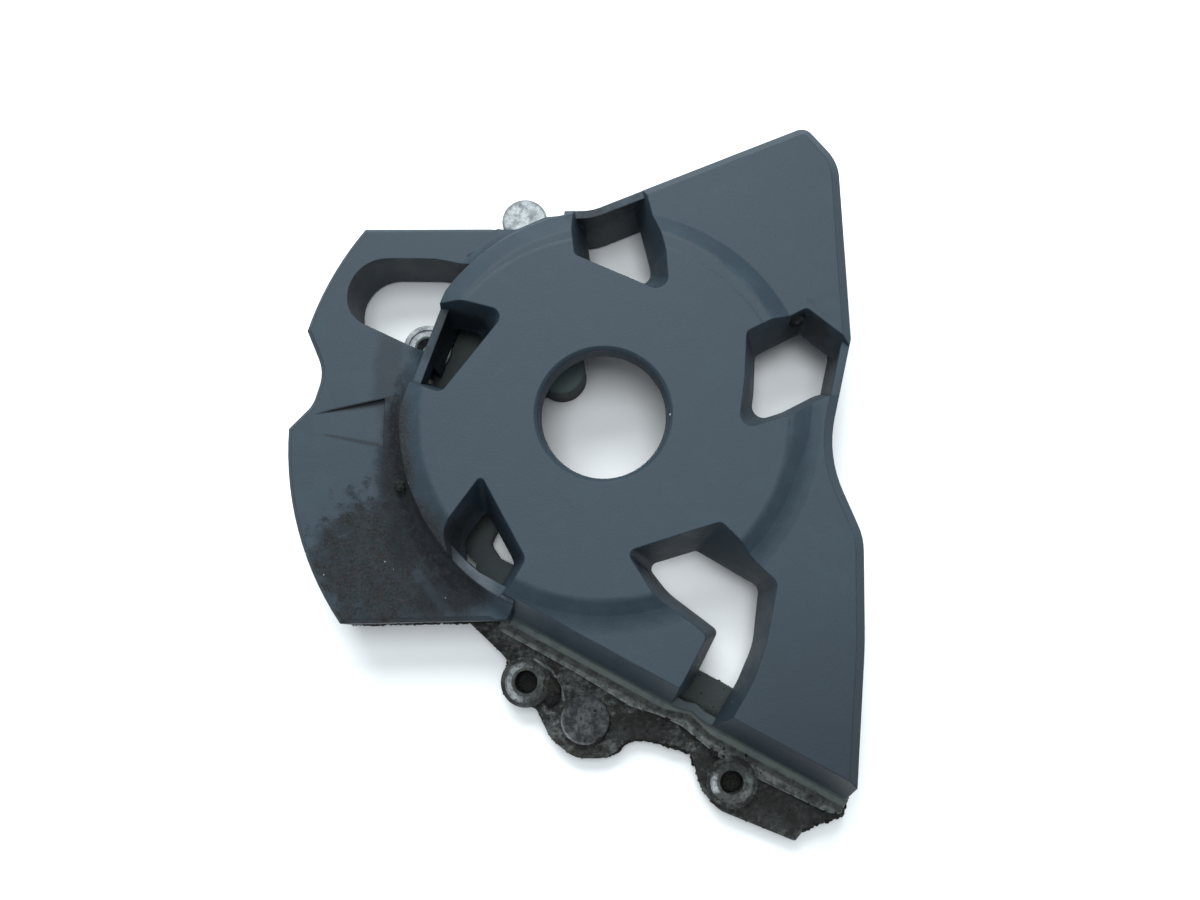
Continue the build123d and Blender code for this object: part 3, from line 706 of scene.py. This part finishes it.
# %% Material: screw steel
steel, tree, shader = start_material("screw_steel")
edge_wear_and_shade = place(tree, edges_wear_shade_highlight, Radius=0.0003, Patchiness=0.3)
where = millimetres(tree)
squeezed = vector(tree, "MULTIPLY", where, (1.0, 1.0, 12.0))
brushed = noise(tree, squeezed, 0.6, detail=4.0)
dirty = ramp(tree, noise(tree, where, 2.0, detail=6.0), 0.5, 0.68)
face = mix(tree, brushed, colour(0.36, 0.37, 0.38), colour(0.52, 0.53, 0.54))
face = mix(tree, times(tree, dirty, 0.8), face, colour(0.05, 0.045, 0.038))
face = mix(tree, times(tree, edge_wear_and_shade["Mask"], 0.6), face, colour(0.70, 0.70, 0.69))
tree.links.new(face, shader.inputs["Base Color"])
tree.links.new(inverse(tree, times(tree, dirty, 0.8)), shader.inputs["Metallic"])
tree.links.new(calc(tree, "ADD", 0.3, times(tree, dirty, 0.4)), shader.inputs["Roughness"])
add_bump(tree, shader, brushed, 0.00005, 0.5, edge_wear_and_shade["Normal"])
print("steel nodes:", len(tree.nodes))

# %% [markdown]
# A solid from the frame keeps its mesh and its place. Only the materials in its slots change.

# %% Give the solids their finishes
for piece, material in ((shell, plastic), (casting, metal), (screws, steel)):
    for number in range(len(piece.material_slots)):
        piece.material_slots[number].material = material
    print(piece.name, "slots:", len(piece.material_slots), "triangles:", len(piece.data.polygons))

# %% [markdown]
# Dried dirt also has a shape of its own. It clings to the flange's outer wall as crumbs, which make
# its outline ragged, lies as fine crumbs on the lower wing, and fills the two lower bolt holes. It is
# black where it is greasy and grey-brown where it has dried out.

# %% Material: dried dirt
dirt, tree, shader = start_material("dried_dirt")
shader.inputs["Roughness"].default_value = 0.9
shader.inputs["Specular IOR Level"].default_value = 0.2
where = millimetres(tree)
speckle = ramp(tree, noise(tree, where, 0.7, detail=4.0, roughness=0.7), 0.35, 0.68)
browner = ramp(tree, noise(tree, where, 9.0), 0.45, 0.60)
pale = mix(tree, browner, colour(0.017, 0.020, 0.019), colour(0.026, 0.023, 0.020))
tree.links.new(mix(tree, speckle, colour(0.0050, 0.0056, 0.0054), pale), shader.inputs["Base Color"])
add_bump(tree, shader, speckle, 0.0002, 0.6)
print("dirt nodes:", len(tree.nodes))

# %% [markdown]
# More than a thousand crumbs are too many to place by hand, so Geometry Nodes scatter them. Points are
# dropped on a copy of the solid, and those outside an egg-shaped region or on faces that point the
# wrong way are deleted. The region, the spacing and the seed are inputs of the tree, in metres.

# %% Geometry Nodes: choose the points
clumps_per_metre = 260.0
scatter, given, result = new_group(
    "crumbs",
    [("Geometry", "NodeSocketGeometry", None),
     ("Centre", "NodeSocketVector", (0.0, 0.0, 0.0)),
     ("Reach", "NodeSocketVector", (0.01, 0.01, 0.01)),
     ("Density", "NodeSocketFloat", 1e5),
     ("Size", "NodeSocketFloat", 0.001),
     ("Least Upward", "NodeSocketFloat", -1.0),
     ("Most Upward", "NodeSocketFloat", 1.0),
     ("Seed", "NodeSocketInt", 1),
     ("Material", "NodeSocketMaterial", None)],
    [("Geometry", "NodeSocketGeometry")],
    kind="GeometryNodeTree")
points = put(scatter, "GeometryNodeDistributePointsOnFaces", {
    "Mesh": given["Geometry"], "Density": given["Density"], "Seed": given["Seed"]}).outputs
position = put(scatter, "GeometryNodeInputPosition").outputs[0]
offset = vector(scatter, "SUBTRACT", position, given["Centre"])
distance = vector(scatter, "LENGTH", vector(scatter, "DIVIDE", offset, given["Reach"]))
clumps = put(scatter, "ShaderNodeTexNoise", {
    "Vector": position, "Scale": clumps_per_metre, "Detail": 3.0}).outputs["Fac"]
swing = times(scatter, calc(scatter, "SUBTRACT", clumps, 0.5), 2.4)
border = calc(scatter, "ADD", distance, swing)
upward = parts_of(scatter, points["Normal"])["Z"]
outside = highest(
    scatter, calc(scatter, "GREATER_THAN", border, 0.9),
    calc(scatter, "LESS_THAN", upward, given["Least Upward"]),
    calc(scatter, "GREATER_THAN", upward, given["Most Upward"]))
kept = put(scatter, "GeometryNodeDeleteGeometry", {
    "Geometry": points["Points"], "Selection": outside})
print("nodes that choose the points:", len(scatter.nodes))

# %% [markdown]
# Each point that is left gets a ball of 80 triangles, stretched and sized at random: many small
# crumbs and few large ones. Once the balls are real meshes, noise pushes their points about, so that
# no two crumbs are alike. What would reach through the table is lifted on to it.

# %% Geometry Nodes: shape the crumbs
swirls_per_metre = 2500.0
lowest_z = 0.00005
crumb = put(scatter, "GeometryNodeMeshIcoSphere", {"Radius": 1.0, "Subdivisions": 2})
chance = put(scatter, "FunctionNodeRandomValue", data_type="FLOAT").outputs[1]
smaller = calc(scatter, "ADD", 0.35, times(scatter, calc(scatter, "POWER", chance, 3.0), 0.65))
stretch = put(scatter, "FunctionNodeRandomValue", {
    0: (0.7, 0.7, 0.45), 1: (1.0, 1.0, 0.7)}, data_type="FLOAT_VECTOR").outputs[0]
placed = put(scatter, "GeometryNodeInstanceOnPoints", {
    "Points": kept.outputs[0], "Instance": crumb.outputs["Mesh"], "Rotation": points["Rotation"],
    "Scale": scaled(scatter, stretch, times(scatter, smaller, given["Size"]))})
real = put(scatter, "GeometryNodeRealizeInstances", {0: placed.outputs[0]})
swirl = put(scatter, "ShaderNodeTexNoise", {
    "Vector": position, "Scale": swirls_per_metre, "Detail": 1.0}).outputs["Color"]
push = scaled(scatter, vector(scatter, "SUBTRACT", swirl, (0.5, 0.5, 0.5)), given["Size"])
ragged = put(scatter, "GeometryNodeSetPosition", {"Geometry": real.outputs[0], "Offset": push})
place_now = parts_of(scatter, position)
lifted = put(scatter, "ShaderNodeCombineXYZ", {
    "X": place_now["X"], "Y": place_now["Y"], "Z": highest(scatter, place_now["Z"], lowest_z)})
above_table = put(scatter, "GeometryNodeSetPosition", {
    "Geometry": ragged.outputs[0], "Position": lifted.outputs[0]})
coated = put(scatter, "GeometryNodeSetMaterial", {
    "Geometry": above_table.outputs[0], "Material": given["Material"]})
scatter.links.new(coated.outputs[0], result["Geometry"])
print("crumb tree nodes:", len(scatter.nodes))

# %% [markdown]
# The tree runs on a merged copy of the solid, because the solid's own mesh is loose triangles and
# must not change. The result is turned into a plain mesh, which rides with the part.

# %% Turn the scatter into a piece
def add_piece(name, mesh):
    """A smooth-shaded piece at the origin that rides with the part."""
    for face in mesh.polygons:
        face.use_smooth = True
    piece = bpy.data.objects.new(name, mesh)
    bpy.context.scene.collection.objects.link(piece)
    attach(piece, "root")
    print(name, "triangles:", len(mesh.polygons))


def merged_copy(solid):
    """The solid's mesh with its loose triangles joined, as a new mesh."""
    shape = bmesh.new()
    shape.from_mesh(solid.data)
    bmesh.ops.remove_doubles(shape, verts=shape.verts, dist=0.000001)
    mesh = bpy.data.meshes.new(solid.name + "_ground")
    shape.to_mesh(mesh)
    shape.free()
    return mesh


def crumbs(name, solid, slot, **inputs):
    """Scatter crumbs on a solid. An underscore in an input's name stands for a space."""
    ground = bpy.data.objects.new(name + "_ground", merged_copy(solid))
    bpy.context.scene.collection.objects.link(ground)
    modifier = ground.modifiers.new("crumbs", "NODES")
    modifier.node_group = scatter
    items = scatter.interface.items_tree
    sockets = {item.name: item.identifier for item in items if item.in_out == "INPUT"}
    for label, value in inputs.items():
        modifier[sockets[label.replace("_", " ")]] = value
    modifier[sockets["Material"]] = dirt
    evaluated = ground.evaluated_get(bpy.context.evaluated_depsgraph_get())
    mesh = bpy.data.meshes.new_from_object(evaluated)
    ground.modifiers.remove(modifier)
    bpy.data.objects.remove(ground)
    add_piece(name, mesh)


print("crumbs can be scattered")

# %% [markdown]
# On the flange the crumbs cling to the outer wall, so only faces that look sideways take them. On top
# of the flange and on the wing they lie on faces that look up. Coarse clods sit in the dip between
# the lugs and at the flange's far end, and grains no larger than sand on the wing.

# %% Scatter the crumbs
walls = {"Least_Upward": -0.4, "Most_Upward": 0.4}
tops = {"Least_Upward": 0.3, "Most_Upward": 1.1}
crumbs("crumbs_in_flange_dip", casting, "cast_metal", Density=8e5, Size=0.00160, Seed=3,
       Centre=(0.0125, -0.0945, 0.003), Reach=(0.0210, 0.0070, 0.008), **walls)
crumbs("crumbs_at_flange_end", casting, "cast_metal", Density=6e5, Size=0.00120, Seed=5,
       Centre=(0.0650, -0.1165, 0.004), Reach=(0.0120, 0.0080, 0.008), **walls)
crumbs("crumbs_on_flange_edge", casting, "cast_metal", Density=1.5e5, Size=0.00070, Seed=8,
       Centre=(0.0100, -0.1000, 0.003), Reach=(0.0800, 0.0500, 0.008), **walls)
crumbs("crumbs_on_flange", casting, "cast_metal", Density=9e4, Size=0.00050, Seed=13,
       Centre=(0.0200, -0.0950, 0.0065), Reach=(0.0550, 0.0350, 0.004), **tops)
crumbs("crumbs_on_wing", shell, "shell_plastic", Density=1.5e5, Size=0.00024, Seed=21,
       Centre=(-0.0670, -0.0400, 0.024), Reach=(0.0200, 0.0180, 0.006), **tops)
crumbs("crumbs_in_cove", shell, "shell_plastic", Density=2.5e5, Size=0.00026, Seed=34,
       Centre=(-0.0610, -0.0170, 0.026), Reach=(0.0050, 0.0250, 0.007), **tops)
crumbs("crumbs_under_wing_edge", shell, "shell_plastic", Density=6e5, Size=0.00090, Seed=55,
       Centre=(-0.0540, -0.0598, 0.003), Reach=(0.0260, 0.0040, 0.009), **walls)

# %% [markdown]
# Five lumps of dirt are larger than the crumbs: one in each lower bolt hole, one beside the left lug,
# one in the hollow beside the disc and one on the upper wall of the right window. Each is a ball
# pressed flat, with its points pushed in and out by smooth noise. The two in the bolt holes are dark
# plugs of dirt that also stand for the shade deep in each bore.

# %% Lumps of dirt
hole_fill = (0.0034, 0.0034, 0.0013)
hole_fill_z = 0.0016


def in_hole(lug):
    """The centre of a lump in a lug's bolt hole, in metres."""
    return (lug[0] / 1000, lug[1] / 1000, hole_fill_z)


def lump(name, slot, centre, reach, roughness, seed):
    """A lump with the given half sizes, in metres, whose surface swings by a share of them."""
    shape = bmesh.new()
    bmesh.ops.create_icosphere(shape, subdivisions=4, radius=1.0)
    for point in shape.verts:
        swing = fractal(point.co * 1.7 + Vector((seed, 0, 0)), 0.8, 2.0, 4) * roughness
        swollen = point.co * (1.0 + swing)
        point.co = Vector(centre) + Vector([part * half_size for part, half_size in zip(swollen, reach)])
    mesh = bpy.data.meshes.new(name)
    shape.to_mesh(mesh)
    shape.free()
    mesh.materials.append(dirt)
    add_piece(name, mesh)


# Dark plugs of dirt that also stand for the shade deep in each bolt hole.
lump("dirt_and_shade_in_left_bolt_hole", "cast_metal", in_hole(left_lug), hole_fill, 0.02, 1)
lump("dirt_and_shade_in_right_bolt_hole", "cast_metal", in_hole(right_lug), hole_fill, 0.02, 2)
lump("dirt_beside_left_lug", "cast_metal", (-0.0165, -0.0800, 0.0070), (0.0030, 0.0042, 0.0020), 0.35, 3)
lump("dirt_in_cove", "shell_plastic", (-0.0605, -0.0195, 0.0262), (0.0017, 0.0019, 0.0011), 0.35, 5)
lump("dirt_in_right_window", "shell_plastic", (0.0575, 0.0300, 0.0270), (0.0022, 0.0018, 0.0030), 0.45, 4)

# %% [markdown]
# The cover lies on a plain white table. It is one large face, a tenth of a millimetre under the part,
# so that the two never lie in exactly the same plane. It isn't part of the object.

# %% Table
half = 2.0
table_z = -0.0001
floor_mesh = bpy.data.meshes.new("table")
floor_mesh.from_pydata(
    [(-half, -half, table_z), (half, -half, table_z), (half, half, table_z), (-half, half, table_z)],
    [], [(0, 1, 2, 3)])
floor = bpy.data.objects.new("table", floor_mesh)
bpy.context.scene.collection.objects.link(floor)
table_white, tree, shader = start_material("table_white")
shader.inputs["Base Color"].default_value = colour(0.86, 0.88, 0.90)
shader.inputs["Roughness"].default_value = 0.6
floor.data.materials.append(table_white)
print("table side:", 2 * half)

# %% [markdown]
# One wide lamp stands beyond the cover's upper side, about 45 degrees up, so that slopes facing it
# are light and the long side that leans the other way is dark. A weaker one hangs overhead. The table
# is lit until it is nearly white, which is why its shadows hardly show.

# %% Light
world = bpy.data.worlds.new("studio")
world.use_nodes = True
background = world.node_tree.nodes["Background"]
background.inputs["Color"].default_value = colour(0.92, 0.97, 1.0)
background.inputs["Strength"].default_value = 0.5
bpy.context.scene.world = world


def softbox(name, lamp_place, size, power):
    """A square lamp that faces the object."""
    lamp = bpy.data.lights.new(name, "AREA")
    lamp.size = size
    lamp.energy = power
    lamp.color = (0.95, 0.99, 1.0)
    towards_object = Vector((0, 0, 0)) - Vector(lamp_place)
    lamp_object = bpy.data.objects.new(name, lamp)
    lamp_object.location = lamp_place
    lamp_object.rotation_euler = towards_object.to_track_quat("-Z", "Y").to_euler()
    bpy.context.scene.collection.objects.link(lamp_object)


softbox("key", (-0.15, 1.05, 1.1), 1.0, 34.0)
softbox("over", (0.0, 0.1, 1.7), 0.8, 14.0)
bpy.context.scene.view_settings.view_transform = "Standard"
